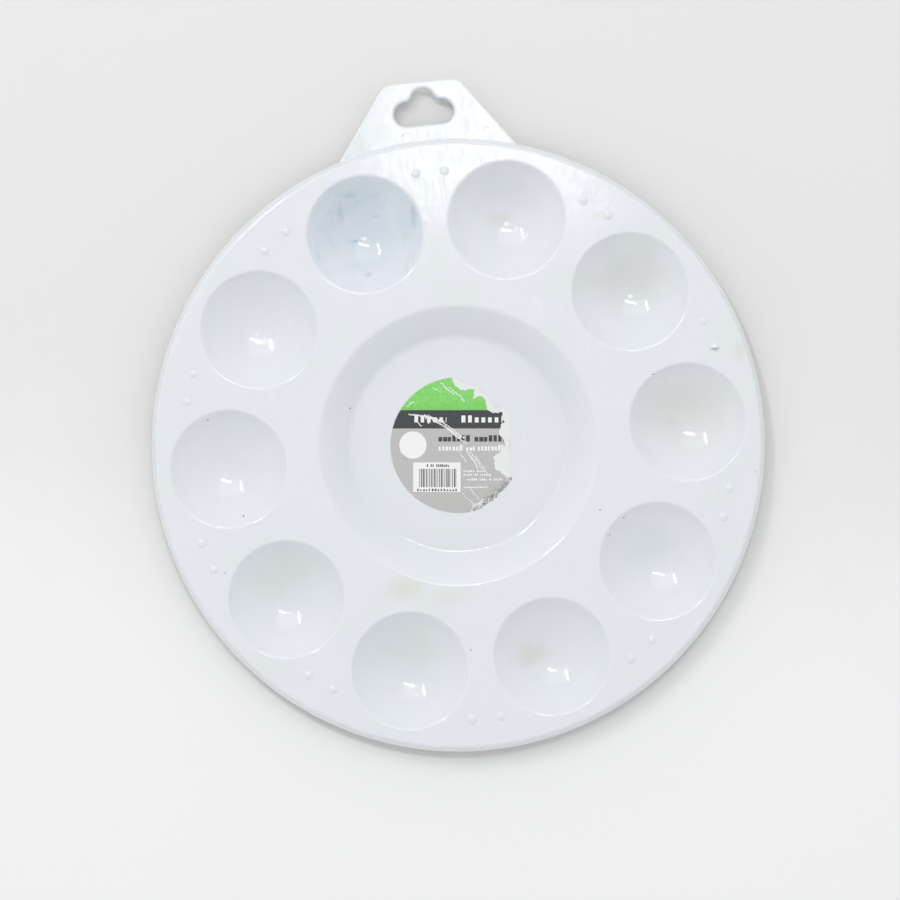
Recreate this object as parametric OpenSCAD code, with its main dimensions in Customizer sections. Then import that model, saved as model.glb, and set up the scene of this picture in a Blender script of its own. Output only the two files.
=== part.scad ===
// Round mixing palette: one moulding with a ring of bowls, a large central well and a hanging tab,
// and a round sticker of three plies on the floor of the well.
// Millimetres. +Z is up and +Y points to the tab. The origin is the palette's centre, on the surface it stands on.

/* [Deck] */
// Diameter of the deck, to the corner where it turns down into the skirt
deck_d = 224.4; // [222:0.2:235]
// Height of the deck's top face above the surface that the palette stands on
deck_h = 13; // [11:0.5:16]
// Wall thickness of the moulding
wall = 1.6; // [1.2:0.1:2]
// Radius of the edge between the deck and the skirt
edge_r = 1.3; // [1:0.1:2.5]
// How far the skirt reaches below the deck's top face
skirt_drop = 7; // [5:0.5:8]
// How far the skirt flares out on its way down
skirt_flare = 2.5; // [1.5:0.1:4]

/* [Bowls] */
// Number of bowls in the ring
bowl_n = 10; // [6:2:10]
// Diameter of the circle that the bowls are centred on
bowl_ring_d = 171.2; // [168:0.2:172]
// Diameter of a bowl where its wall meets the deck
bowl_d = 43.6; // [36:0.2:44]
// Radius of the rounded lip of a bowl
bowl_lip_r = 1.2; // [0.8:0.1:1.4]

/* [Central well] */
// Diameter of the well where its wall meets the deck
well_d = 103.4; // [90:0.2:106]
// Diameter of the well's floor, to the corner with the wall
well_floor_d = 81.4; // [70:0.2:84]
// Radius of the well's rounded lip
well_lip_r = 2; // [1.8:0.1:3]
// Radius of the corner between the well's wall and its floor
well_corner_r = 3.5; // [2:0.5:6]

/* [Pips] */
// Diameter of the circle that the pips stand on
pip_ring_d = 203.8; // [202:0.2:206]
// Distance between the two pips of a pair
pip_gap = 10.6; // [8:0.2:14]
// Diameter of a pip at its foot
pip_d = 3.6; // [2:0.1:4]
// Height of a pip above the deck
pip_h = 0.7; // [0.3:0.1:1.2]

/* [Hanging tab] */
// Distance from the palette's centre to the tab's straight top edge
tab_reach = 136.5; // [135.5:0.1:145]
// Width of the tab's top edge, to its corners before rounding
tab_top_w = 28.1; // [24:0.1:36]
// Width of the tab where it meets the skirt
tab_root_w = 66.5; // [56:0.1:72]
// Thickness of the tab
tab_t = 2.2; // [1.8:0.1:3]
// Radius of the tab's two top corners
tab_corner_r = 5.8; // [2:0.1:8]
// Radius of the two side lobes and the top lobe of the hanging hole
hole_lobe_r = 4.6; // [3:0.1:5]
// Half the distance between the hole's two side lobes
hole_half_w = 6.6; // [5:0.1:7]
// Distance from the palette's centre to the hole's straight lower edge
hole_y = 120.2; // [118:0.1:121]
// Height of the hole's top lobe above the side lobes
hole_rise = 4.6; // [3:0.1:6]
// Radius of the blends between the lobes
hole_blend_r = 3; // [0.8:0.1:4]

/* [Label] */
// Diameter of the round label
label_d = 50.8; // [40:0.1:60]
// Turn of the label from the tab's direction, clockwise
label_turn = 5.9; // [0:0.1:20]
// Thickness of the layer of adhesive
adhesive_t = 0.05; // [0.04:0.01:0.1]
// Thickness of the paper ply
paper_t = 0.1; // [0.08:0.01:0.2]
// Thickness of the printed face ply
print_t = 0.05; // [0.04:0.01:0.1]

/* [Hidden] */
$fn = 96;

deck_r = deck_d / 2;
foot_r = deck_r + skirt_flare;
foot_z = deck_h - skirt_drop;
skirt_run = wall * norm([skirt_flare, skirt_drop]) / skirt_drop;  // the skirt's wall, measured level
inner_corner_r = 0.3;  // least radius on the inside of a thick corner
arc_steps = 8;         // straight steps in each rounded corner of the deck's profile

// A bowl is a spherical cap as deep as the deck stands, less one wall.
bowl_depth = deck_h - wall;
bowl_sphere_r = (pow(bowl_d / 2, 2) + pow(bowl_depth, 2)) / (2 * bowl_depth);
bowl_centre_z = bowl_sphere_r + wall;
bowl_ring_r = bowl_ring_d / 2;
bowl_step = 360 / bowl_n;
// The lip's circle stands a hair proud of the deck, so that the two never meet at a tangent.
lip_proud = 0.02;
lip_z = deck_h + lip_proud - bowl_lip_r;
lip_r = sqrt(pow(bowl_sphere_r + bowl_lip_r, 2) - pow(bowl_centre_z - lip_z, 2));
lip_share = bowl_sphere_r / (bowl_sphere_r + bowl_lip_r);  // along the line from the sphere's centre to the lip's
lip_foot = [lip_r * lip_share, bowl_centre_z + (lip_z - bowl_centre_z) * lip_share];

pip_ring_r = pip_ring_d / 2;
pip_turn = asin(pip_gap / 2 / pip_ring_r);
pip_sphere_r = (pow(pip_d / 2, 2) + pow(pip_h, 2)) / (2 * pip_h);

tab_overlap = 0.4;              // how far the tab's face stands above the skirt's foot
tab_z = foot_z + tab_overlap - tab_t;
tab_root_y = sqrt(pow(foot_r, 2) - pow(tab_root_w / 2, 2));
through = 1;                    // how far a cutter runs past the face it cuts
eps = 0.01;

// Where the label is torn, from its top edge down its right side to its lower edge, in its own upright frame.
print_tear = [
    [-2.2, 26], [-0.3, 21.8], [6.3, 21.1], [5.7, 17.2], [9.5, 17.8], [10.8, 13.5], [16.5, 12.5], [17.4, 8.6],
    [15.5, 6.2], [17.2, 1.4], [17, -1.4], [12.9, -4.7], [13.6, -7.3], [16.2, -10.6], [18.4, -13.6],
    [15.5, -16.6], [11.9, -20.3], [5, -23.8], [3, -26]
];
paper_tear = [
    [-1.6, 26], [2.5, 23.2], [7.2, 22.4], [10.2, 19.2], [12.4, 15.4], [17.4, 13.6], [19.2, 8.5], [19.6, 3.5],
    [19, -2.5], [18.6, -8], [20, -13.4], [16, -17.6], [12.4, -21], [7.5, -24], [6, -26]
];
adhesive_spread = 0.5;  // how far the adhesive shows past the torn paper
label_r = label_d / 2;
label_z = wall;

// Points on a circle of radius r about c, from angle a0 to angle a1.
function arc(c, r, a0, a1, steps = arc_steps) =
    [for (i = [0:steps]) let (a = a0 + (a1 - a0) * i / steps) c + r * [cos(a), sin(a)]];

function unit(v) = v / norm(v);
function left_of(v) = [-v[1], v[0]];

// The point that a corner of a line moves to when the whole line shifts by d to its left.
function shifted(p, i, d) = let (
    n0 = left_of(unit(p[i] - p[i - 1])),
    n1 = left_of(unit(p[i + 1] - p[i]))
) p[i] + d * (n0 + n1) / (1 + n0 * n1);

// The same line with each inner corner rounded to its radius, and left sharp where that is 0.
function rounded(p, r) = [
    p[0],
    for (i = [1:len(p) - 2])
        let (
            u = unit(p[i - 1] - p[i]),
            v = unit(p[i + 1] - p[i]),
            half = acos(u * v) / 2,
            c = p[i] + unit(u + v) * r[i] / sin(half),
            turn = sign(u[0] * v[1] - u[1] * v[0]),
            mid = atan2(-(u + v)[1], -(u + v)[0])
        )
        each (r[i] == 0 ? [p[i]] : arc(c, r[i], mid + turn * (90 - half), mid - turn * (90 - half))),
    p[len(p) - 1]
];

// The moulding's top line in section, from the skirt's foot over the deck to the middle of the well.
top_line = [
    [foot_r, foot_z],
    [deck_r, deck_h],
    [well_d / 2, deck_h],
    [well_floor_d / 2, wall],
    [0, wall]
];
top_radii = [0, edge_r, well_lip_r, well_corner_r, 0];
under_line = [
    [foot_r - skirt_run, foot_z],
    for (i = [1:3]) shifted(top_line, i, wall),
    [0, 0]
];
under_radii = [
    0,
    max(edge_r - wall, inner_corner_r),
    max(well_lip_r - wall, inner_corner_r),
    well_corner_r + wall,
    0
];

function reversed(p) = [for (i = [len(p) - 1:-1:0]) p[i]];

// Deck, skirt and central well: one wall, turned about the centre.
module deck_shell() {
    rotate_extrude()
        polygon(concat(rounded(top_line, top_radii), reversed(rounded(under_line, under_radii))));
}

module on_bowl_ring() {
    for (i = [0:bowl_n - 1])
        rotate((i + 0.5) * bowl_step)
            translate([0, bowl_ring_r, 0])
                children();
}

// The outside of one bowl, up into the thickness of the deck.
module bowl_outside() {
    intersection() {
        translate([0, 0, bowl_centre_z]) sphere(bowl_sphere_r + wall);
        translate([0, 0, -through]) cylinder(r = bowl_d, h = through + deck_h - wall / 2);
    }
}

// The hollow of one bowl with its rounded lip.
module bowl_hollow() {
    rotate_extrude() {
        intersection() {
            translate([0, bowl_centre_z]) circle(bowl_sphere_r);
            square([bowl_d, lip_foot[1]]);
        }
        difference() {
            polygon([
                [0, lip_foot[1]],
                lip_foot,
                [lip_r, lip_z],
                [lip_r, deck_h + through],
                [0, deck_h + through]
            ]);
            translate([lip_r, lip_z]) circle(bowl_lip_r);
        }
    }
}

module pips() {
    for (i = [0:bowl_n - 1], side = [-1, 1])
        rotate(i * bowl_step + side * pip_turn)
            translate([0, pip_ring_r, deck_h])
                intersection() {
                    translate([0, 0, pip_h - pip_sphere_r]) sphere(pip_sphere_r);
                    translate([0, 0, -wall / 2]) cylinder(d = 2 * pip_d, h = wall / 2 + pip_h + through);
                }
}

// The tab in plan: a trapezium with two rounded corners, on a strip that runs in under the skirt.
module tab_plan() {
    half_top = tab_top_w / 2;
    half_root = tab_root_w / 2;
    under_skirt = tab_root_y - tab_root_w / 4;
    polygon(rounded(
        [
            [-half_root, under_skirt],
            [-half_root, tab_root_y],
            [-half_top, tab_reach],
            [half_top, tab_reach],
            [half_root, tab_root_y],
            [half_root, under_skirt]
        ],
        [0, 0, tab_corner_r, tab_corner_r, 0, 0]
    ));
}

// The hanging hole in plan: a lobe at each side, a higher lobe between them and a straight lower edge.
module hole_plan() {
    side_y = hole_y + hole_lobe_r;
    side = [hole_half_w, side_y];
    top = [0, side_y + hole_rise];
    middle = (side + top) / 2;
    out = unit([hole_rise, hole_half_w]);
    blend = middle + out * sqrt(pow(hole_lobe_r + hole_blend_r, 2) - pow(norm(side - top) / 2, 2));
    translate(top) circle(hole_lobe_r);
    for (s = [-1, 1]) translate([s * side[0], side[1]]) circle(hole_lobe_r);
    translate([-hole_half_w, hole_y]) square([2 * hole_half_w, 2 * hole_lobe_r - eps]);
    for (s = [0, 1]) mirror([s, 0])
        difference() {
            polygon([side, blend, top]);
            translate(blend) circle(hole_blend_r);
        }
}

module tab() {
    difference() {
        translate([0, 0, tab_z]) linear_extrude(tab_t) tab_plan();
        translate([0, 0, tab_z - through]) cylinder(r = foot_r - skirt_run, h = tab_t + 2 * through);
        translate([0, 0, tab_z - through]) linear_extrude(tab_t + 2 * through) hole_plan();
    }
}

module palette_moulding() {
    color([0.90, 0.92, 0.94])
        difference() {
            union() {
                deck_shell();
                tab();
                pips();
                on_bowl_ring() bowl_outside();
            }
            on_bowl_ring() bowl_hollow();
        }
}

// One ply of the label: the round sticker less what is torn off to the right of a tear.
module ply(z, thickness, tear) {
    torn_off = concat(tear, [[2 * label_r, -2 * label_r], [2 * label_r, 2 * label_r]]);
    rotate(-label_turn)
        translate([0, 0, z])
            linear_extrude(thickness)
                difference() {
                    circle(label_r);
                    polygon(torn_off);
                }
}

module label_adhesive() {
    color([0.90, 0.91, 0.92])
        ply(label_z, adhesive_t, [for (p = paper_tear) p + [adhesive_spread, 0]]);
}

module label_paper() {
    color([0.94, 0.94, 0.93])
        ply(label_z + adhesive_t, paper_t, paper_tear);
}

module label_print() {
    color([0.52, 0.85, 0.42])
        ply(label_z + adhesive_t + paper_t, print_t, print_tear);
}

palette_moulding();
label_adhesive();
label_paper();
label_print();
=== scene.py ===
"""White mixing palette with ten bowls, a central well and a torn round label, as it looks in use."""

import math
import random

import bmesh
import bpy
from mathutils import Matrix, Vector, noise
from mathutils.geometry import delaunay_2d_cdt


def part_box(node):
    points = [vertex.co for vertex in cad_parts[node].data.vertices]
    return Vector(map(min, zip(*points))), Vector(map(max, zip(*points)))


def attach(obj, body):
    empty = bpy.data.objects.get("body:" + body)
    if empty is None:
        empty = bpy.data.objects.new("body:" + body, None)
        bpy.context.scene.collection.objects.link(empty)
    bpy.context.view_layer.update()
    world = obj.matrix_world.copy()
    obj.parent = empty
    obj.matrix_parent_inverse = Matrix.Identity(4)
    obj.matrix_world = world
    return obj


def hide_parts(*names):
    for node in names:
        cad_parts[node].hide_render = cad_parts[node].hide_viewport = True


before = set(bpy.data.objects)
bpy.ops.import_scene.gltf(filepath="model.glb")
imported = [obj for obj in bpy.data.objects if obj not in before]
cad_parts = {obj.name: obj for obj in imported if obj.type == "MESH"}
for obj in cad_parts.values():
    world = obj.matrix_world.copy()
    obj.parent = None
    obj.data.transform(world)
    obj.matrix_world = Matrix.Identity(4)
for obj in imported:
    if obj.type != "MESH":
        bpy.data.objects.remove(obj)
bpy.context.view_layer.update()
MM = 0.001

# ---------------------------------------------------------------- sizes, in millimetres
low, high = (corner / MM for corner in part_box("palette_moulding"))
WALL = 1.6
PIP_H = 0.7
DECK_Z = high.z - PIP_H
FOOT_R = high.x
TAB_REACH = high.y
SKIRT_FLARE = 2.5
SKIRT_DROP = 7.0
DECK_R = FOOT_R - SKIRT_FLARE
FOOT_Z = DECK_Z - SKIRT_DROP
EDGE_R = 1.3          # edge between the deck and the skirt
FOOT_EDGE_R = 0.5     # rounding of the skirt's foot
INNER_R = 0.3         # least radius on the inside of a thick corner

BOWLS = 10
BOWL_RING_R = 85.6
BOWL_R = 21.8
BOWL_LIP_R = 1.2
BOWL_CUT_H = 3.0      # how far the cutter of a bowl stands over the deck
LIP_OVERLAP = 0.002   # lifts that cutter's lip, so that it doesn't just graze the deck
WELL_R = 51.7
WELL_FLOOR_R = 40.7
WELL_LIP_R = 2.0
WELL_CORNER_R = 3.5

PIP_RING_R = 101.9
PIP_GAP = 10.6
PIP_R = 1.8
PIP_FOOT_H = -0.05    # where the dome of a pip meets its foot, over the deck

TAB_TOP_W = 28.1
TAB_ROOT_W = 66.5
TAB_T = 2.2
TAB_CORNER_R = 5.8
TAB_TOP_Z = FOOT_Z + 0.4
TAB_Z = TAB_TOP_Z - TAB_T
TAB_GAP = 0.1         # how far the tab reaches into the skirt's inner side
TAB_EDGE_R = 0.8
HOLE_LOBE_R = 4.6
HOLE_HALF_W = 6.6
HOLE_Y = 120.2
HOLE_RISE = 4.6
HOLE_BLEND_R = 3.0
HOLE_EDGE_R = 1.05
PIN_MARKS = ((22.5, 116.0, 1.4), (-7.5, 116.0, 2.1))    # ejector pin marks in the tab: x, y, radius
PIN_MARK_DEPTH = 0.3
PIN_MARK_DRAFT = 0.2
OVERCUT = 1.0         # how far the tab's cutters stand over it and under it

LABEL_R = 25.4
LABEL_TURN = math.radians(-5.9)

BODY_STEPS, BOWL_STEPS, OUTSIDE_STEPS, PIP_STEPS = 360, 144, 96, 32    # points round each turned shape


# ---------------------------------------------------------------- plane geometry
def arc(centre, r, a0, a1, steps):
    """Points on a circle from angle a0 to a1, in radians."""
    turns = [a0 + (a1 - a0) * i / steps for i in range(steps + 1)]
    return [Vector((centre[0] + r * math.cos(a), centre[1] + r * math.sin(a))) for a in turns]


def left_of(v):
    """The direction to the left of v."""
    return Vector((-v.y, v.x)).normalized()


def tilted(right, up):
    """The place right of and above the palette's centre as it hangs, in the palette's own frame."""
    v = Vector((right, up))
    v.rotate(Matrix.Rotation(LABEL_TURN, 2))
    return v


def shifted(line, i, d):
    """Where corner i of a line goes when the whole line shifts by d to its left."""
    n0 = left_of(line[i] - line[i - 1])
    n1 = left_of(line[(i + 1) % len(line)] - line[i])
    return line[i] + (n0 + n1) * d / (1 + n0.dot(n1))


def rounded(corners, radii, steps=8):
    """A closed outline with each corner rounded to its radius, and left sharp where that is 0."""
    out = []
    for i, p in enumerate(corners):
        if radii[i] == 0:
            out.append(p.copy())
            continue
        u = (corners[i - 1] - p).normalized()
        v = (corners[(i + 1) % len(corners)] - p).normalized()
        half = math.acos(max(-1, min(1, u.dot(v)))) / 2
        centre = p + (u + v).normalized() * radii[i] / math.sin(half)
        turn = math.copysign(1, u.x * v.y - u.y * v.x)
        mid = math.atan2(-(u + v).y, -(u + v).x)
        sweep = turn * (math.pi / 2 - half)
        out += arc(centre, radii[i], mid + sweep, mid - sweep, steps)
    return out


# ---------------------------------------------------------------- solids
def new_object(name, bm):
    """An object with the mesh bm, its faces all turned outward."""
    bmesh.ops.recalc_face_normals(bm, faces=bm.faces)
    mesh = bpy.data.meshes.new(name)
    bm.to_mesh(mesh)
    bm.free()
    obj = bpy.data.objects.new(name, mesh)
    bpy.context.scene.collection.objects.link(obj)
    return obj


def lathe(name, section, steps, place=(0, 0)):
    """A closed solid turned about an upright axis at place, from a closed section of (radius, height)."""
    bm = bmesh.new()
    rings = []
    for r, z in section:
        turns = [2 * math.pi * k / steps for k in range(steps if r > 0 else 1)]
        rings.append([
            bm.verts.new(((place[0] + r * math.cos(a)) * MM, (place[1] + r * math.sin(a)) * MM, z * MM))
            for a in turns])
    for a, b in zip(rings, rings[1:] + rings[:1]):
        if len(a) == 1 and len(b) == 1:
            continue
        for k in range(steps):
            n = (k + 1) % steps
            if len(a) == 1:
                bm.faces.new((a[0], b[k], b[n]))
            elif len(b) == 1:
                bm.faces.new((a[k], a[n], b[0]))
            else:
                bm.faces.new((a[k], a[n], b[n], b[k]))
    return new_object(name, bm)


def loft(name, layers):
    """A closed solid through layers of (outline, height), whose outlines all have as many points."""
    bm = bmesh.new()
    rings = [[bm.verts.new((p.x * MM, p.y * MM, z * MM)) for p in outline] for outline, z in layers]
    for a, b in zip(rings, rings[1:]):
        for k in range(len(a)):
            n = (k + 1) % len(a)
            bm.faces.new((a[k], a[n], b[n], b[k]))
    bm.faces.new(rings[0])
    bm.faces.new(rings[-1])
    return new_object(name, bm)


def combine(target, tools, operation):
    """Joins the tools to the target, or cuts them from it, and removes them."""
    for tool in tools:
        step = target.modifiers.new("combine", "BOOLEAN")
        step.operation = operation
        step.solver = "MANIFOLD"
        step.object = tool
        bpy.context.view_layer.update()
        graph = bpy.context.evaluated_depsgraph_get()
        mesh = bpy.data.meshes.new_from_object(target.evaluated_get(graph))
        target.modifiers.clear()
        old = target.data
        target.data = mesh
        bpy.data.meshes.remove(old)
        bpy.data.objects.remove(tool)


def joined(name, parts):
    """One object that holds the separate solids of several."""
    bm = bmesh.new()
    for part in parts:
        bm.from_mesh(part.data)
        bpy.data.objects.remove(part)
    return new_object(name, bm)


def around_ring(ring_r, phase):
    """A place for each bowl, evenly spaced on a circle, counterclockwise from phase steps past the tab."""
    turns = [math.pi / 2 + 2 * math.pi * (i + phase) / BOWLS for i in range(BOWLS)]
    return [(ring_r * math.cos(a), ring_r * math.sin(a)) for a in turns]


# ---------------------------------------------------------------- the moulding
BOWL_CENTRES = around_ring(BOWL_RING_R, 0.5)


def deck_section():
    """The wall of the deck, skirt and central well, in section."""
    top = [
        Vector((FOOT_R, FOOT_Z)), Vector((DECK_R, DECK_Z)), Vector((WELL_R, DECK_Z)),
        Vector((WELL_FLOOR_R, WALL)), Vector((0, WALL))]
    level_wall = WALL * math.hypot(SKIRT_FLARE, SKIRT_DROP) / SKIRT_DROP
    under = [Vector((FOOT_R - level_wall, FOOT_Z))]
    under += [shifted(top, i, WALL) for i in (1, 2, 3)]
    under += [Vector((0, 0))]
    top_radii = [FOOT_EDGE_R, EDGE_R, WELL_LIP_R, WELL_CORNER_R, 0]
    under_radii = [FOOT_EDGE_R, INNER_R, max(WELL_LIP_R - WALL, INNER_R), WELL_CORNER_R + WALL, 0]
    return rounded(top + under[::-1], top_radii + under_radii[::-1])


def bowl_geometry():
    """The radius and height of a bowl's sphere, then the distance and height of its lip's circle."""
    depth = DECK_Z - WALL
    sphere = (BOWL_R ** 2 + depth ** 2) / (2 * depth)
    centre_z = sphere + WALL
    lip_z = DECK_Z + LIP_OVERLAP - BOWL_LIP_R
    lip_x = math.sqrt((sphere + BOWL_LIP_R) ** 2 - (centre_z - lip_z) ** 2)
    return sphere, centre_z, lip_x, lip_z


def bowl_hollow(place):
    """The cutter for the inside of a bowl, with its rounded lip."""
    sphere, centre_z, lip_x, lip_z = bowl_geometry()
    rim = math.atan2(lip_z - centre_z, lip_x)
    section = arc((0, centre_z), sphere, -math.pi / 2, rim, steps=26)
    section += arc((lip_x, lip_z), BOWL_LIP_R, rim + math.pi, math.pi / 2, steps=7)[1:]
    section += [Vector((lip_x, DECK_Z + BOWL_CUT_H)), Vector((0, DECK_Z + BOWL_CUT_H))]
    section[0].x = 0
    return lathe("hollow", section, BOWL_STEPS, place)


def bowl_outside(place):
    """The solid that a bowl is cut into, up to the middle of the deck's wall."""
    sphere, centre_z, _, _ = bowl_geometry()
    top_z = DECK_Z - WALL / 2
    rim = math.asin((top_z - centre_z) / (sphere + WALL))
    section = arc((0, centre_z), sphere + WALL, -math.pi / 2, rim, steps=22) + [Vector((0, top_z))]
    section[0].x = 0
    return lathe("outside", section, OUTSIDE_STEPS, place)


def pip(place):
    """A low dome on a short foot."""
    foot = DECK_Z - WALL / 2
    dome_r = (PIP_R ** 2 + PIP_H ** 2) / (2 * PIP_H)
    edge = math.asin((DECK_Z + PIP_FOOT_H - high.z + dome_r) / dome_r)
    section = [Vector((0, foot)), Vector((PIP_R, foot))]
    section += arc((0, high.z - dome_r), dome_r, edge, math.pi / 2, steps=8)
    section[-1].x = 0
    return lathe("pip", section, PIP_STEPS, place)


def tab_outline(inset):
    """The tab in plan, drawn in by inset, on a strip that runs in under the skirt."""
    root_y = math.sqrt(FOOT_R ** 2 - TAB_ROOT_W ** 2 / 4)
    strip_y = root_y - TAB_ROOT_W / 4
    half_top, half_root = TAB_TOP_W / 2, TAB_ROOT_W / 2
    corners = [Vector(p) for p in (
        (half_root, strip_y), (half_root, root_y), (half_top, TAB_REACH),
        (-half_top, TAB_REACH), (-half_root, root_y), (-half_root, strip_y))]
    corners = [shifted(corners, i, inset) for i in range(len(corners))]
    corner_r = TAB_CORNER_R - inset
    return rounded(corners, [0, 0, corner_r, corner_r, 0, 0], steps=10)


def hole_outline(grow):
    """The hanging hole in plan, grown by grow: two side lobes and a higher one over a straight edge."""
    side = Vector((HOLE_HALF_W, HOLE_Y + HOLE_LOBE_R))
    top = side + Vector((-HOLE_HALF_W, HOLE_RISE))
    middle = (side + top) / 2
    out = Vector((HOLE_RISE, HOLE_HALF_W)).normalized()
    reach = math.sqrt((HOLE_LOBE_R + HOLE_BLEND_R) ** 2 - ((side - top).length / 2) ** 2)
    blend = middle + out * reach
    to_blend = math.atan2(*(blend - side).yx)
    from_top = math.atan2(*(blend - top).yx)
    right = arc(side, HOLE_LOBE_R + grow, -math.pi / 2, to_blend, steps=16)
    right += arc(blend, HOLE_BLEND_R - grow, to_blend - math.pi, from_top - math.pi, steps=6)[1:]
    right += arc(top, HOLE_LOBE_R + grow, from_top, math.pi / 2, steps=8)[1:]
    left = [Vector((-p.x, p.y)) for p in right[:-1]]
    return right + left[::-1]


def tab_layers(outline, edge_r, steps=5):
    """Layers of the tab, or of a hole in it, with edges rounded to edge_r by an outline that moves."""
    turns = [math.pi / 2 * i / steps for i in range(steps + 1)]
    profile = [(edge_r * (1 - math.sin(a)), edge_r * (1 - math.cos(a))) for a in turns]
    lower = [(outline(move), TAB_Z + rise) for move, rise in profile]
    upper = [(outline(move), TAB_TOP_Z - rise) for move, rise in profile]
    return lower + upper[::-1]


def pin_mark(x, y, r):
    """The cutter for a shallow round mark in the top of the tab."""
    mark_z = TAB_TOP_Z - PIN_MARK_DEPTH
    over = TAB_TOP_Z + OVERCUT
    return lathe("mark", ((0, mark_z), (r - PIN_MARK_DRAFT, mark_z), (r, over), (0, over)), PIP_STEPS, (x, y))


def tab():
    """The tab with its hole and pin marks, cut to meet the inner side of the skirt."""
    slab = loft("tab", tab_layers(tab_outline, TAB_EDGE_R))
    wide = hole_outline(HOLE_EDGE_R)
    layers = tab_layers(hole_outline, HOLE_EDGE_R)
    hole = loft("hole", [(wide, TAB_Z - OVERCUT)] + layers + [(wide, TAB_TOP_Z + OVERCUT)])
    inner_r = FOOT_R - WALL - TAB_GAP
    core = lathe("core", ((0, 0), (inner_r, 0), (inner_r, DECK_Z), (0, DECK_Z)), BODY_STEPS)
    marks = joined("marks", [pin_mark(*mark) for mark in PIN_MARKS])
    combine(slab, [hole, core, marks], "DIFFERENCE")
    return slab


def build_moulding():
    """The whole palette in one piece."""
    body = lathe("palette", deck_section(), BODY_STEPS)
    combine(body, [joined("outsides", [bowl_outside(c) for c in BOWL_CENTRES]), tab()], "UNION")
    pip_turn = math.asin(PIP_GAP / 2 / PIP_RING_R) / (2 * math.pi) * BOWLS
    pips = [pip(c) for side in (-1, 1) for c in around_ring(PIP_RING_R, side * pip_turn)]
    combine(body, [joined("pips", pips)], "UNION")
    combine(body, [joined("hollows", [bowl_hollow(c) for c in BOWL_CENTRES])], "DIFFERENCE")
    return body


def smooth(obj, degrees):
    """Smooth shading with edges sharp from that angle up, and flats that stay flat next to their fillets."""
    obj.data.shade_smooth()
    obj.data.set_sharp_from_angle(angle=math.radians(degrees))
    level = obj.modifiers.new("flats", "WEIGHTED_NORMAL")
    level.keep_sharp = True


palette = build_moulding()
palette.name = "palette"
smooth(palette, degrees=40)
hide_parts("palette_moulding")
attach(palette, "root")


# ---------------------------------------------------------------- label plies
# Where the printed face and the paper are torn off, from the top of the label down, in its own upright frame.
PRINT_TEAR = [
    (-2.2, 26), (-0.3, 21.8), (6.3, 21.1), (5.7, 17.2), (9.5, 17.8), (10.8, 13.5), (16.5, 12.5), (17.4, 8.6),
    (15.5, 6.2), (17.2, 1.4), (17, -1.4), (12.9, -4.7), (13.6, -7.3), (16.2, -10.6), (18.4, -13.6),
    (15.5, -16.6), (11.9, -20.3), (5, -23.8), (3, -26)]
PAPER_TEAR = [
    (-1.6, 26), (2.5, 23.2), (7.2, 22.4), (10.2, 19.2), (12.4, 15.4), (17.4, 13.6), (19.2, 8.5), (19.6, 3.5),
    (19, -2.5), (18.6, -8), (20, -13.4), (16, -17.6), (12.4, -21), (7.5, -24), (6, -26)]
ADHESIVE_SPREAD = 0.5
ADHESIVE_T, PAPER_T, PRINT_T = 0.05, 0.10, 0.05
TORN_SHARE = 0.25     # the part of its thickness that the paper keeps at its torn edge
TORN_W = 0.9          # how far the paper thins towards that edge
FUR_H, FUR_W = 0.03, 1 / 1.7
PRINT_COVERS_X = 8    # left of this the paper is under print and has no fur

GRID = 0.9            # spacing of the points that carry a ply's relief
GRID_ROW = 0.87       # height of a row of them, in spacings
GRID_JITTER = 0.2     # in spacings
GRID_MARGIN = 0.4
GRID_END_X = 19


def ragged(line, rng, amount, finest):
    """A torn line: each stretch is halved until it is short, and each new point steps to one side."""
    out = [line[0]]
    for a, b in zip(line, line[1:]):
        stretch = [a, b]
        while (stretch[1] - stretch[0]).length > finest:
            finer = [stretch[0]]
            for p, q in zip(stretch, stretch[1:]):
                side = left_of(q - p) * rng.uniform(-amount, amount) * (q - p).length
                finer += [(p + q) / 2 + side, q]
            stretch = finer
        out += stretch[1:]
    return out


def ply_outline(tear, rng, amount, finest=0.35):
    """The round label less what is torn off, in its own frame, and the torn line alone."""
    line = ragged([Vector(p) for p in tear], rng, amount, finest)
    line = [p for p in line if p.length < LABEL_R]
    start = math.atan2(line[0].y, line[0].x)
    end = math.atan2(line[-1].y, line[-1].x) + 2 * math.pi
    return arc((0, 0), LABEL_R, start, end, steps=150) + line[::-1], line


def ply_grid():
    """Slightly uneven points all over the inside of the label."""
    reach = int(LABEL_R / GRID) + 1
    rng = random.Random(5)
    points = []
    for i in range(-reach, reach + 1):
        for j in range(-reach - 4, reach + 5):
            x = (i + 0.5 * (j % 2) + rng.uniform(-GRID_JITTER, GRID_JITTER)) * GRID
            points.append(Vector((x, j * GRID * GRID_ROW)))
    return [p for p in points if p.length < LABEL_R - GRID_MARGIN and p.x < GRID_END_X]


def ply_mesh(name, outline, base, top_of):
    """A closed thin solid over the outline, from height base up to top_of(point)."""
    points, _, faces, *_ = delaunay_2d_cdt(outline + ply_grid(), [], [list(range(len(outline)))], 1, 1e-5)
    bm = bmesh.new()

    def vertex(p, z):
        return bm.verts.new((*tilted(p.x, p.y) * MM, z * MM))

    top = [vertex(p, top_of(p)) for p in points]
    under = [vertex(p, base) for p in points]
    edges = {}
    for face in faces:
        bm.faces.new([top[i] for i in face])
        bm.faces.new([under[i] for i in reversed(face)])
        edges |= dict.fromkeys(zip(face, face[1:] + face[:1]))
    for a, b in edges:
        if (b, a) not in edges:
            bm.faces.new((top[b], top[a], under[a], under[b]))
    loose = [v for v in bm.verts if not v.link_faces]
    bmesh.ops.delete(bm, geom=loose, context="VERTS")
    return new_object(name, bm)


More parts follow.
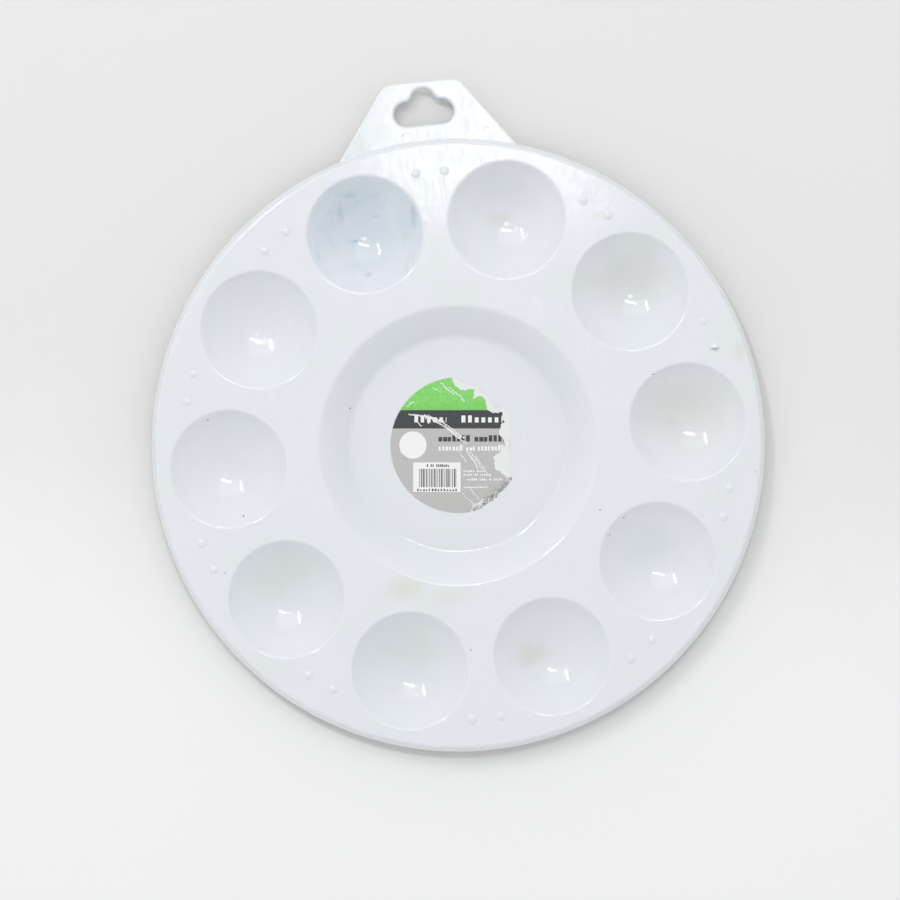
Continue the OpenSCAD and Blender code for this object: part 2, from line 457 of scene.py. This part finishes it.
def distance_to(line, p):
    """Distance from p to the nearest point of a line."""
    best = 1e9
    for a, b in zip(line, line[1:]):
        t = max(0, min(1, (p - a).dot(b - a) / max((b - a).length_squared, 1e-12)))
        best = min(best, (a + (b - a) * t - p).length)
    return best


def build_label():
    """The three plies of the label: adhesive, torn paper, and the torn printed face."""
    paper_z = WALL + ADHESIVE_T
    print_z = paper_z + PAPER_T

    spread = [(x + ADHESIVE_SPREAD, y) for x, y in PAPER_TEAR]
    outline, _ = ply_outline(spread, random.Random(11), 0.05, 1.0)
    adhesive = ply_mesh("label_adhesive_film", outline, WALL, lambda p: paper_z)

    outline, torn_edge = ply_outline(PAPER_TEAR, random.Random(21), 0.16, 0.5)

    def paper_top(p):
        thin = min(1, distance_to(torn_edge, p) / TORN_W)
        fur = FUR_H * noise.noise(Vector((p.x / FUR_W, p.y / FUR_W, 2))) * thin
        if p.x < PRINT_COVERS_X:
            fur = 0
        return paper_z + PAPER_T * (TORN_SHARE + (1 - TORN_SHARE) * thin) + min(0, fur)

    paper = ply_mesh("label_torn_paper", outline, paper_z, paper_top)

    outline, _ = ply_outline(PRINT_TEAR, random.Random(32), 0.2)
    face = ply_mesh("label_printed_face", outline, print_z, lambda p: print_z + PRINT_T)
    for piece, node in ((adhesive, "label_adhesive"), (paper, "label_paper"), (face, "label_print")):
        smooth(piece, degrees=30)
        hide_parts(node)
        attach(piece, "root")
    return adhesive, paper, face


label_adhesive, label_paper, label_print = build_label()


# ---------------------------------------------------------------- materials
class Graph:
    """Short calls for a material's nodes."""

    def __init__(self, name):
        self.material = bpy.data.materials.new(name)
        self.material.use_nodes = True
        self.tree = self.material.node_tree
        self.shader = self.tree.nodes["Principled BSDF"]
        self.place = self.tree.nodes.new("ShaderNodeTexCoord").outputs["Object"]

    def put(self, socket, value):
        if isinstance(value, bpy.types.NodeSocket):
            self.tree.links.new(value, socket)
        elif isinstance(value, (tuple, Vector)) and socket.type == "RGBA":
            socket.default_value = (*value, 1)
        else:
            socket.default_value = value

    def math(self, operation, *values):
        node = self.tree.nodes.new("ShaderNodeMath")
        node.operation = operation
        for socket, value in zip(node.inputs, values):
            self.put(socket, value)
        return node.outputs[0]

    def product(self, *values):
        """All the values multiplied together."""
        total = values[0]
        for value in values[1:]:
            total = self.math("MULTIPLY", total, value)
        return total

    def vector(self, operation, *values, out=0):
        node = self.tree.nodes.new("ShaderNodeVectorMath")
        node.operation = operation
        for socket, value in zip(node.inputs, values):
            self.put(socket, value)
        return node.outputs[out]

    def mapping(self, vector, move=(0, 0, 0), turn_z=0, scale=(1, 1, 1)):
        node = self.tree.nodes.new("ShaderNodeMapping")
        self.put(node.inputs["Vector"], vector)
        self.put(node.inputs["Location"], move)
        self.put(node.inputs["Rotation"], (0, 0, turn_z))
        self.put(node.inputs["Scale"], scale)
        return node.outputs[0]

    def millimetres(self, turn_z=0):
        """The place on the object in millimetres, turned about the upright axis."""
        return self.mapping(self.place, turn_z=turn_z, scale=(1 / MM, 1 / MM, 1 / MM))

    def noise(self, vector, scale, detail=3, roughness=0.5, distortion=0):
        node = self.tree.nodes.new("ShaderNodeTexNoise")
        self.put(node.inputs["Vector"], vector)
        node.inputs["Scale"].default_value = scale
        node.inputs["Detail"].default_value = detail
        node.inputs["Roughness"].default_value = roughness
        node.inputs["Distortion"].default_value = distortion
        return node.outputs["Fac"]

    def ramp(self, value, low, high, to_low=0, to_high=1, smooth_step=False):
        """Goes from to_low, where value is low, to to_high, where it is high, and no further."""
        node = self.tree.nodes.new("ShaderNodeMapRange")
        node.interpolation_type = "SMOOTHSTEP" if smooth_step else "LINEAR"
        self.put(node.inputs["Value"], value)
        self.put(node.inputs["From Min"], low)
        self.put(node.inputs["From Max"], high)
        self.put(node.inputs["To Min"], to_low)
        self.put(node.inputs["To Max"], to_high)
        return node.outputs["Result"]

    def mix(self, factor, a, b):
        """Colour a where factor is 0, and b where it is 1."""
        node = self.tree.nodes.new("ShaderNodeMix")
        node.data_type = "RGBA"
        self.put(node.inputs["Factor"], factor)
        self.put(node.inputs["A"], a)
        self.put(node.inputs["B"], b)
        return node.outputs["Result"]

    def parts(self, vector):
        node = self.tree.nodes.new("ShaderNodeSeparateXYZ")
        self.put(node.inputs[0], vector)
        return node.outputs[0], node.outputs[1], node.outputs[2]

    def random_cell(self, value):
        """A fixed random number for each whole number that value rounds down to."""
        node = self.tree.nodes.new("ShaderNodeTexWhiteNoise")
        node.noise_dimensions = "1D"
        self.put(node.inputs["W"], self.math("FLOOR", value))
        return node.outputs["Value"]

    def bump(self, height, distance, normal=None):
        """A relief as high as distance, in metres, on top of the one that normal carries."""
        node = self.tree.nodes.new("ShaderNodeBump")
        self.put(node.inputs["Height"], height)
        node.inputs["Distance"].default_value = distance
        node.inputs["Strength"].default_value = 1
        if normal is not None:
            self.put(node.inputs["Normal"], normal)
        return node.outputs[0]


def srgb(*colour):
    """An sRGB colour, 0 to 255, as linear values."""
    return tuple((c / 255 / 12.92) if c <= 10 else ((c / 255 + 0.055) / 1.055) ** 2.4 for c in colour)


PLASTIC_COOL, PLASTIC_WARM = srgb(227, 232, 234), srgb(231, 232, 238)
GRIME, CRUMB = srgb(176, 176, 168), srgb(120, 116, 110)
WASH_BLUE, WASH_GREEN, WASH_OLIVE = srgb(172, 198, 216), srgb(190, 212, 200), srgb(196, 197, 188)
WASH_YELLOW, WASH_BEIGE, WASH_GREY = srgb(212, 210, 176), srgb(204, 196, 176), srgb(190, 195, 203)
WASH_TEAL, BRUSHED_BLUE = srgb(112, 152, 176), srgb(140, 174, 200)
BROWN, YELLOW = srgb(140, 124, 96), srgb(206, 198, 132)

# Dried paint in the bowls. Bowls count from 0, counterclockwise from the tab. Each wash has its bowl, its
# place from the bowl's centre and its half width and height in millimetres, its colour, strength and grain.
BOWL_STAINS = [
    (0, (0, 2), (27, 27), WASH_BLUE, 0.34, 9),
    (0, (-2, 15), (22, 9), WASH_BLUE, 0.26, 4),
    (0, (-14, 3), (8, 14), WASH_BLUE, 0.18, 4),
    (0, (16, 2), (6, 13), WASH_BLUE, 0.2, 4),
    (0, (-4.5, 15.5), (4.6, 2), WASH_TEAL, 0.2, 2),
    (0, (-8.5, 9.5), (2.2, 5), WASH_TEAL, 0.24, 2),
    (0, (18.6, 5.5), (1.6, 5.8), WASH_TEAL, 0.28, 2),
    (0, (-3.9, -1.4), (2.6, 0.9), WASH_TEAL, 0.35, 2),
    (0, (4.6, 7), (3, 1), WASH_TEAL, 0.25, 2),
    (0, (-0.5, -14.5), (2, 1.6), WASH_TEAL, 0.25, 2),
    (9, (0, 13), (24, 14), WASH_GREY, 0.2, 10),
    (9, (-2, 1), (7, 4.5), WASH_BEIGE, 0.25, 4),
    (8, (-1, 6), (22, 17), WASH_OLIVE, 0.32, 10),
    (7, (0, 2), (25, 23), WASH_YELLOW, 0.16, 9),
    (7, (-2, 8), (22, 15), WASH_OLIVE, 0.2, 10),
    (7, (-5.5, 0.5), (3.5, 3.5), BROWN, 0.06, 3),
    (6, (-2, 4), (14, 13), WASH_GREEN, 0.22, 8),
    (5, (-7, 0.5), (9, 6.5), WASH_BEIGE, 0.34, 4),
    (5, (-9, -2), (4, 2.5), BROWN, 0.05, 2),
    (4, (-2, 6), (20, 15), WASH_GREEN, 0.22, 10),
    (3, (0, 9), (20, 14), WASH_GREEN, 0.24, 10)]
# Smears on the deck, by their place right of and above the centre as the palette hangs.
DECK_STAINS = [
    ((-20, -53.5), (10, 6), WASH_YELLOW, 0.34, 6),
    ((-3, -56.5), (9, 4.5), WASH_YELLOW, 0.24, 5),
    ((104.5, 34.5), (3.4, 6), YELLOW, 0.22, 3),
    ((95.2, 35.6), (2.4, 0.7), BROWN, 0.7, 1),
    ((51.6, 85.4), (3, 2), YELLOW, 0.16, 2)]
# Crumbs of dirt: right of the centre, above it, radius.
SPECKS = [
    (-40.5, 13.7, 0.26), (-93.2, 9.3, 0.24), (72.2, 26.3, 0.26), (52.6, -24.1, 0.28), (61.5, -27, 0.3),
    (56.3, -33.4, 0.24), (110.4, -10, 0.24), (-86.5, -47.5, 0.26), (4.7, -76, 0.24), (-80, -26.4, 0.3)]


def distance_from(g, place, centre, size=(1, 1)):
    """The level distance from an upright axis at centre, in half widths and heights of size."""
    local = g.vector("SUBTRACT", place, (*centre, 0))
    return g.vector("LENGTH", g.vector("MULTIPLY", local, (1 / size[0], 1 / size[1], 0)), out=1)


def blot(g, place, centre, size, grain):
    """A soft-edged uneven patch: 1 inside, 0 outside."""
    wobble = g.product(g.math("SUBTRACT", g.noise(place, 1 / grain, 4, 0.55), 0.5), 0.9)
    return g.ramp(g.math("ADD", distance_from(g, place, centre, size), wobble), 1.1, 0, smooth_step=True)


def bowls_mask(g, place):
    """1 in the bowls and 0 on the deck."""
    total = 0
    for centre in BOWL_CENTRES:
        total = g.math("ADD", total, g.ramp(distance_from(g, place, centre), BOWL_R, BOWL_R - 0.8))
    return total


def brush_marks(g, place, centre):
    """Strokes that a brush left as it turned in a bowl: noise drawn out along circles round its centre."""
    x, y, _ = g.parts(g.vector("SUBTRACT", place, (*centre, 0)))
    reach = distance_from(g, place, centre)
    polar = g.tree.nodes.new("ShaderNodeCombineXYZ")
    g.put(polar.inputs["X"], g.product(reach, 0.30))
    g.put(polar.inputs["Y"], g.product(g.math("ABSOLUTE", g.math("ARCTAN2", y, x)), 2.4))
    strokes = g.ramp(g.noise(polar.outputs[0], 1, 5, 0.68, 0.9), 0.48, 0.74)
    patches = g.ramp(g.noise(place, 0.13, 3), 0.46, 0.62)
    in_bowl = g.ramp(reach, BOWL_R, BOWL_R - 1)
    near_edge = g.ramp(reach, 6, 17, 0.35, 1)
    return g.product(strokes, patches, g.product(in_bowl, near_edge))


def speck(g, place, centre, r):
    """A small dark crumb with an irregular outline."""
    return g.math("LESS_THAN", distance_from(g, place, centre), g.product(g.noise(place, 2.2, 2), 2 * r))


def hairlines(g, place, turn, spacing, seed):
    """Thin broken scratches that run mostly one way."""
    across = g.mapping(place, move=(seed, seed, 0), turn_z=turn, scale=(1 / spacing, 0.09 / spacing, 1))
    ridge = g.math("ABSOLUTE", g.math("SUBTRACT", g.noise(across, 1, 2, 0.5, 0.6), 0.5))
    line = g.ramp(ridge, 0.010, 0.003)
    patch = g.ramp(g.noise(place, 0.07, 2, 0.5), 0.50, 0.62)
    return g.product(line, patch)


def stained_colour(g, place, in_bowls):
    """The plastic's colour, with washes of paint, brush marks and crumbs on faces that look up, and grime."""
    cloud = g.ramp(g.noise(place, 1 / 26, 3, 0.6), 0.35, 0.65)
    colour = g.mix(cloud, PLASTIC_COOL, PLASTIC_WARM)
    normal = g.tree.nodes.new("ShaderNodeTexCoord").outputs["Normal"]
    face_up = g.math("GREATER_THAN", g.parts(normal)[2], 0)
    for bowl, offset, size, tint, strength, grain in BOWL_STAINS:
        centre = Vector(BOWL_CENTRES[bowl]) + Vector(offset)
        mask = g.product(blot(g, place, centre, size, grain), strength, in_bowls, face_up)
        colour = g.mix(mask, colour, tint)
    for centre, size, tint, strength, grain in DECK_STAINS:
        mask = g.product(blot(g, place, tilted(*centre), size, grain), strength, face_up)
        colour = g.mix(mask, colour, tint)
    brushed = g.product(brush_marks(g, place, BOWL_CENTRES[0]), g.product(face_up, 0.3))
    colour = g.mix(brushed, colour, BRUSHED_BLUE)
    grime = g.ramp(g.noise(place, 0.9, 5, 0.7), 0.66, 0.80)
    colour = g.mix(g.product(grime, 0.10), colour, GRIME)
    for x, y, r in SPECKS:
        colour = g.mix(g.product(speck(g, place, tilted(x, y), r), face_up), colour, CRUMB)
    return colour


def plastic_material():
    """Glossy white plastic, stained, and rubbed and scratched outside the bowls and the well."""
    g = Graph("white_glossy_plastic")
    place = g.millimetres()
    in_bowls = bowls_mask(g, place)
    g.put(g.shader.inputs["Base Color"], stained_colour(g, place, in_bowls))
    outside = g.math("SUBTRACT", g.ramp(distance_from(g, place, (0, 0)), WELL_R, WELL_R + 2), in_bowls)
    scratches = g.math("MAXIMUM", hairlines(g, place, 0.6, 4.5, 3), hairlines(g, place, -0.9, 6, 11))
    dull = g.ramp(g.noise(place, 1 / 7, 4, 0.65), 0.40, 0.70)
    rubbed = g.product(g.ramp(g.noise(place, 0.7, 4, 0.75), 0.53, 0.62), outside)
    drawn = g.mapping(place, turn_z=1.0, scale=(0.55, 0.2, 1))
    streaky = g.product(g.ramp(g.noise(drawn, 1, 4, 0.7), 0.45, 0.62), outside)
    worn = g.math("MAXIMUM", g.product(rubbed, 0.10), g.product(streaky, 0.14))
    worn = g.math("MAXIMUM", worn, g.product(scratches, 0.25))
    g.put(g.shader.inputs["Roughness"], g.math("ADD", g.ramp(dull, 0, 1, 0.045, 0.085), worn))
    g.shader.inputs["IOR"].default_value = 1.5
    waves = g.bump(g.noise(place, 1 / 13, 2), 0.07 * MM)
    ripples = g.bump(g.noise(place, 1 / 4.5, 3, 0.6), 0.03 * MM, waves)
    peel = g.bump(g.noise(place, 1 / 1.5, 4, 0.6), 0.011 * MM, ripples)
    g.put(g.shader.inputs["Normal"], g.bump(scratches, 0.01 * MM, peel))
    return g.material


def inside(g, x, y, box):
    """1 inside an upright rectangle (left, bottom, right, top)."""
    left, bottom, right, top = box
    across = g.product(g.math("GREATER_THAN", x, left), g.math("LESS_THAN", x, right))
    upright = g.product(g.math("GREATER_THAN", y, bottom), g.math("LESS_THAN", y, top))
    return g.product(across, upright)


def blocks(g, x, y, box, pitch, fill, share):
    """A row of plain blocks, some lower than others, that stands in for a line of print."""
    left, bottom, _, top = box
    cell = g.math("DIVIDE", g.math("SUBTRACT", x, left), pitch)
    seed = g.math("ADD", cell, 100 * (top + 30))
    chance = g.random_cell(seed)
    width = g.math("ADD", g.product(g.random_cell(g.math("ADD", seed, 37)), 0.25), fill - 0.12)
    solid = g.math("LESS_THAN", g.math("FRACT", cell), width)
    used = g.math("LESS_THAN", chance, share)
    drop = g.product(g.math("LESS_THAN", chance, 0.5 * share), 0.28 * (top - bottom))
    under = g.math("LESS_THAN", y, g.math("SUBTRACT", top, drop))
    return g.product(inside(g, x, y, box), under, g.product(solid, used))


def scratch(g, place, a, b, width):
    """A thin broken line where the ink is worn off, from a to b."""
    a, b = Vector((*a, 0)), Vector((*b, 0))
    along = (b - a).normalized()
    rel = g.vector("SUBTRACT", place, tuple(a))
    t = g.vector("DOT_PRODUCT", rel, tuple(along), out=1)
    off = g.vector("DOT_PRODUCT", rel, (-along.y, along.x, 0), out=1)
    drift = g.product(g.math("SUBTRACT", g.noise(place, 0.3, 2), 0.5), 1.6)
    off = g.math("ABSOLUTE", g.math("ADD", off, drift))
    wear = g.ramp(g.noise(place, 1.7, 4, 0.7), 0.38, 0.6, 0, width)
    ends = g.product(g.math("GREATER_THAN", t, 0), g.math("LESS_THAN", t, (b - a).length))
    return g.product(g.math("LESS_THAN", off, wear), ends)


INK, BARE, BAND = srgb(58, 58, 62), srgb(240, 240, 238), srgb(50, 54, 58)
GREY_LIGHT, GREY_DARK = srgb(198, 197, 195), srgb(176, 175, 174)
GREEN_DARK, GREEN_LIGHT, GREEN_LOW = srgb(116, 203, 88), srgb(138, 216, 112), srgb(84, 190, 60)
# The second colour darkens the label's torn lower right edge: dirt there, and painted shade under its lifted
# edge.
WORN_INK, EDGE_DIRT_AND_SHADE = srgb(238, 238, 236), srgb(120, 122, 114)
BAND_BOTTOM, BAND_TOP = 6.2, 13.1                # the dark band across the label, with green over it
DISC_CENTRE, DISC_R = (-17, 0), 5.1              # the white disc, left empty
BAR_CODE_GROUND = (-16.9, -17.6, 0.9, -6.5)      # left, bottom, right, top
BAR_CODE = (-14.8, -15.8, -0.35, -8.9)
BAR_PITCH = 0.62
# Lines of print as plain blocks: (left, bottom, right, top), pitch, filled part, share of cells used, colour
PRINT_ROWS = [
    ((-16.4, 8.5, -4.4, 11.1), 2.35, 0.58, 1.1, BARE),
    ((1.2, 8.5, 16.6, 11.1), 2.5, 0.60, 1.1, BARE),
    ((-7.4, 1.3, 4.6, 3.7), 1.72, 0.80, 1.1, INK),
    ((6.1, 1.3, 18.4, 3.7), 1.78, 0.80, 1.1, INK),
    ((-7.3, -2.1, 1.9, 0.1), 1.3, 0.66, 1.1, BARE),
    ((3.0, -2.1, 6.2, -0.5), 1.3, 0.66, 1.1, BARE),
    ((7.4, -2.1, 17, 0.1), 1.25, 0.66, 1.1, BARE),
    ((2, -10.1, 10.5, -9.4), 0.7, 0.66, 0.85, BARE),
    ((2, -11.5, 12.5, -10.8), 0.7, 0.66, 0.85, BARE),
    ((2, -13.3, 16.5, -12.5), 0.75, 0.66, 0.95, BARE),
    ((2, -16.1, 11.5, -15.4), 0.75, 0.66, 0.85, BARE),
    ((-11.8, -8.2, -3.2, -7.2), 0.72, 0.66, 0.9, INK),
    ((-15.4, -17.3, -0.2, -16.4), 1.1, 0.5, 0.95, INK)]
# Ink worn off along creases: from, to, width
WEAR = [
    ((-18.6, 11.6), (-12.5, 11.0), 0.5), ((-13, 11.2), (-5.2, 8.6), 0.75), ((-9.5, 9.6), (1.2, 3.0), 0.6),
    ((-7, 9.6), (2.6, 2.6), 0.4), ((-4.6, 6.4), (3.4, 0.4), 0.35), ((-16.5, 9.4), (-13.6, 7.2), 0.35),
    ((-12.4, 11.6), (-11.0, 8.0), 0.4), ((3.2, -1.6), (7.6, -8.8), 0.4), ((4.6, -2.2), (9.4, -9.6), 0.3),
    ((-0.5, -1), (3.2, -6.4), 0.25), ((6.5, -4), (12, -12), 0.25), ((-6.5, 23.4), (-1.5, 19.0), 0.4),
    ((-3.2, 22.0), (2.6, 16.4), 0.35), ((-9.6, 21.6), (-6.4, 19.8), 0.25), ((4.8, -16.4), (8, -20.5), 0.3),
    ((1.5, -18), (6, -22.5), 0.25), ((-19.5, 14.5), (-16.5, 16.2), 0.3)]


def lower_right(g, x, y):
    """1 close to the label's torn lower right edge, where dirt has stuck and where shade under its lifted
    edge is painted.
    """
    out = g.math("ADD", g.product(x, 0.66), g.product(y, -0.75))
    return g.product(g.ramp(out, 20.2, 22.6, smooth_step=True), g.math("LESS_THAN", y, -12))


def grating(g, x, y, across, up, pitch):
    """Waves from -1 to 1 that repeat every pitch in the direction (across, up)."""
    at = g.math("ADD", g.product(x, across), g.product(y, up))
    return g.math("SINE", g.product(at, 2 * math.pi / pitch))


def label_ground(g, place, x, y):
    """The label's own colours: a halftone grey, a dark band, green at the top, and two bare white areas."""
    dots = g.product(
        grating(g, x, y, 0.80, 0.60, 0.85),
        g.ramp(grating(g, x, y, 0.60, -0.80, 0.6), -1, 1, 0.45, 1))
    grey = g.mix(g.ramp(dots, -0.6, 0.6), GREY_LIGHT, GREY_DARK)
    green = g.mix(g.ramp(g.noise(place, 0.9, 5, 0.7), 0.35, 0.65), GREEN_DARK, GREEN_LIGHT)
    green = g.mix(g.ramp(y, 17, 13, 0, 0.35), green, GREEN_LOW)
    colour = g.mix(g.math("GREATER_THAN", y, BAND_BOTTOM), grey, BAND)
    colour = g.mix(g.math("GREATER_THAN", y, BAND_TOP), colour, green)
    in_disc = g.math("LESS_THAN", distance_from(g, place, DISC_CENTRE), DISC_R)
    colour = g.mix(in_disc, colour, BARE)
    return g.mix(inside(g, x, y, BAR_CODE_GROUND), colour, BARE)


def bars(g, x, y):
    """Bars of chance widths, in the place of the bar code."""
    cell = g.math("DIVIDE", g.math("ADD", x, 40), BAR_PITCH)
    width = g.math("ADD", 0.25, g.product(g.random_cell(cell), 0.5))
    return g.product(g.math("LESS_THAN", g.math("FRACT", cell), width), inside(g, x, y, BAR_CODE))


def print_material():
    """The printed face, scratched along its creases, chipped, and darkened at its lower right edge by dirt
    and by painted shade of its lifted edge.
    """
    g = Graph("label_printed_ink")
    place = g.millimetres(-LABEL_TURN)
    x, y, _ = g.parts(place)
    colour = g.mix(bars(g, x, y), label_ground(g, place, x, y), INK)
    for box, pitch, fill, share, tint in PRINT_ROWS:
        colour = g.mix(blocks(g, x, y, box, pitch, fill, share), colour, tint)
    worn = g.math("GREATER_THAN", g.noise(place, 2.4, 4, 0.75), 0.705)
    for a, b, width in WEAR:
        worn = g.math("MAXIMUM", worn, scratch(g, place, a, b, width))
    colour = g.mix(worn, colour, WORN_INK)
    # Darker at the torn lower right edge: dirt, and painted shade under its lifted edge.
    dirt_and_edge_shade = g.product(lower_right(g, x, y), g.ramp(g.noise(place, 1.1, 5, 0.75), 0.46, 0.62))
    colour = g.mix(g.product(dirt_and_edge_shade, 0.8), colour, EDGE_DIRT_AND_SHADE)
    g.put(g.shader.inputs["Base Color"], colour)
    g.shader.inputs["Roughness"].default_value = 0.45
    wrinkles = g.bump(g.noise(place, 0.45, 4, 0.6), 0.08 * MM)
    g.put(g.shader.inputs["Normal"], g.bump(worn, 0.03 * MM, wrinkles))
    return g.material


def paper_material():
    """Torn white paper with fibres and specks, darkened at its lower right edge by dirt and by painted shade
    of its lifted edge.
    """
    g = Graph("label_torn_paper_fibre")
    place = g.millimetres(-LABEL_TURN)
    x, y, _ = g.parts(place)
    fibre = g.noise(g.mapping(place, turn_z=0.5, scale=(1, 3, 1)), 1.5, 5, 0.7)
    colour = g.mix(fibre, srgb(222, 224, 224), srgb(246, 246, 245))
    specks = g.math("GREATER_THAN", g.noise(place, 1.9, 4, 0.7), 0.70)
    colour = g.mix(g.product(specks, 0.6), colour, srgb(150, 152, 148))
    # Darker at the torn lower right edge: dirt, and painted shade under its lifted edge.
    dirt = g.product(lower_right(g, x, y), g.ramp(g.noise(place, 0.9, 5, 0.8), 0.40, 0.55))
    colour = g.mix(g.product(dirt, 0.85), colour, srgb(104, 106, 96))
    g.put(g.shader.inputs["Base Color"], colour)
    g.shader.inputs["Roughness"].default_value = 0.95
    g.put(g.shader.inputs["Normal"], g.bump(fibre, 0.12 * MM))
    return g.material


def adhesive_material():
    """A cloudy film with grey dirt in it."""
    g = Graph("label_cloudy_adhesive")
    dirt = g.ramp(g.noise(g.millimetres(), 1.1, 4, 0.65), 0.55, 0.75)
    g.put(g.shader.inputs["Base Color"], g.mix(dirt, srgb(222, 224, 226), srgb(196, 195, 188)))
    g.shader.inputs["Roughness"].default_value = 0.6
    return g.material


def floor_material():
    """A pale floor, painted a little lighter below the palette as it hangs than above it: painted light, as
    on a level table that takes more light than an upright wall.
    """
    g = Graph("pale_matte_floor")
    along = g.vector("DOT_PRODUCT", g.place, (*tilted(0, 1), 0), out=1)
    mottled = g.product(g.math("SUBTRACT", g.noise(g.place, 9, 4, 0.6), 0.5), 0.12)
    # Painted light: lighter towards the bottom, like a lit level table, and darker towards the top, like an
    # upright wall.
    shade = g.ramp(g.math("ADD", along, mottled), 0.06, -0.1, smooth_step=True)
    g.put(g.shader.inputs["Base Color"], g.mix(shade, srgb(231, 231, 229), srgb(243, 243, 242)))
    g.shader.inputs["Roughness"].default_value = 0.95
    g.shader.inputs["Specular IOR Level"].default_value = 0.2
    return g.material


for piece, material in (
        (palette, plastic_material()), (label_adhesive, adhesive_material()),
        (label_paper, paper_material()), (label_print, print_material())):
    piece.data.materials.clear()
    piece.data.materials.append(material)

# ---------------------------------------------------------------- floor, camera and lights
# From here on all sizes are in metres.
FLOOR_SIZE = 6
FLOOR_GAP = 0.0002    # keeps the floor from meeting the undersides that rest on it
bpy.ops.mesh.primitive_plane_add(size=FLOOR_SIZE, location=(0, 0, -FLOOR_GAP))
floor = bpy.context.object
floor.name = "floor"
floor.data.materials.append(floor_material())

CAMERA_HEIGHT = 1.0       # above the deck
VIEW_WIDTH = 0.3339       # what the camera sees of the deck, from side to side
VIEW_CENTRE = Vector((-0.0030793, -0.001855, 0))    # right of and above the palette's centre
SENSOR_WIDTH = 36         # in millimetres, as Blender counts it
DECK = DECK_Z * MM

SKY_AT_HORIZON, SKY_OVERHEAD = 1.05, 0.54
SKY_COLOUR = (0.98, 0.99, 1.0, 1)

# Lamps and what they face, right of, above and in front of the palette's centre as it hangs.
CENTRE = (0, 0, 0)
TOP_LAMP = (0.05, 0.78, 2.2)
GLOSS_HEIGHT = 1.2        # from the deck to the lamp that the top of the palette mirrors
GLOSS_SPREAD = 1 + GLOSS_HEIGHT / CAMERA_HEIGHT
GLOSS_CENTRE = Vector((0.011, 0.119))    # where the camera sees that lamp in the deck
GLOSS_SIZE = Vector((0.084, 0.062))


def add_camera():
    """The camera looks straight down and sees the palette as it hangs, its tab a little to the left of up."""
    data = bpy.data.cameras.new("camera")
    data.sensor_width = SENSOR_WIDTH
    data.lens = SENSOR_WIDTH * CAMERA_HEIGHT / VIEW_WIDTH
    camera = bpy.data.objects.new("camera", data)
    camera.rotation_euler = (0, 0, LABEL_TURN)
    offset = VIEW_CENTRE.copy()
    offset.rotate(camera.rotation_euler)
    camera.location = offset + Vector((0, 0, CAMERA_HEIGHT + DECK))
    bpy.context.scene.collection.objects.link(camera)
    bpy.context.scene.camera = camera


def area_light(name, place, aim, size, power, roll=0, spread=180, diffuse=True, glossy=True):
    """A rectangular light at place that faces aim, with its width across the palette. In degrees, roll turns
    it about its own axis and spread narrows its beam. diffuse and glossy say whether it lights surfaces and
    whether it shows in their gloss."""
    data = bpy.data.lights.new(name, "AREA")
    data.shape = "RECTANGLE"
    data.size, data.size_y = size
    data.energy = power
    data.spread = math.radians(spread)
    light = bpy.data.objects.new(name, data)
    location, target = ((*tilted(p[0], p[1]), p[2]) for p in (place, aim))
    back = (Vector(location) - Vector(target)).normalized()
    across = Vector((*tilted(1, 0), 0))
    up = back.cross(across).normalized()
    turn = Matrix((up.cross(back), up, back)).transposed() @ Matrix.Rotation(math.radians(roll), 3, "Z")
    light.rotation_euler = turn.to_euler()
    light.location = location
    light.visible_camera = False
    light.visible_diffuse = diffuse
    light.visible_glossy = glossy
    bpy.context.scene.collection.objects.link(light)


def sky():
    """Even studio light, stronger from the sides than from overhead."""
    world = bpy.data.worlds.new("world")
    world.use_nodes = True
    nodes, links = world.node_tree.nodes, world.node_tree.links
    background = nodes["Background"]
    background.inputs["Color"].default_value = SKY_COLOUR
    height = nodes.new("ShaderNodeSeparateXYZ")
    links.new(nodes.new("ShaderNodeTexCoord").outputs["Generated"], height.inputs[0])
    strength = nodes.new("ShaderNodeMapRange")
    links.new(height.outputs["Z"], strength.inputs["Value"])
    strength.inputs["To Min"].default_value = SKY_AT_HORIZON
    strength.inputs["To Max"].default_value = SKY_OVERHEAD
    links.new(strength.outputs["Result"], background.inputs["Strength"])
    return world


add_camera()
area_light("key_top", TOP_LAMP, CENTRE, (0.56, 0.050), 7, roll=-12, glossy=False)
area_light("key_left", (-0.585, 0.70, 1.31), CENTRE, (0.030, 0.42), 3, roll=6, glossy=False)
area_light("soft_top", (-0.3, 1.3, 2.2), CENTRE, (1.8, 1.2), 7)
area_light("glint_top", TOP_LAMP, CENTRE, (0.66, 0.026), 12, roll=-15, diffuse=False)
area_light("glint_left", (-0.63, 0.72, 1.31), CENTRE, (0.016, 0.44), 4.5, roll=8, diffuse=False)
area_light(
    "gloss_top", (*GLOSS_CENTRE * GLOSS_SPREAD, GLOSS_HEIGHT), (*GLOSS_CENTRE, DECK),
    GLOSS_SIZE * GLOSS_SPREAD, 0.0032, spread=14, diffuse=False)
bpy.context.scene.world = sky()
bpy.context.scene.view_settings.view_transform = "Standard"
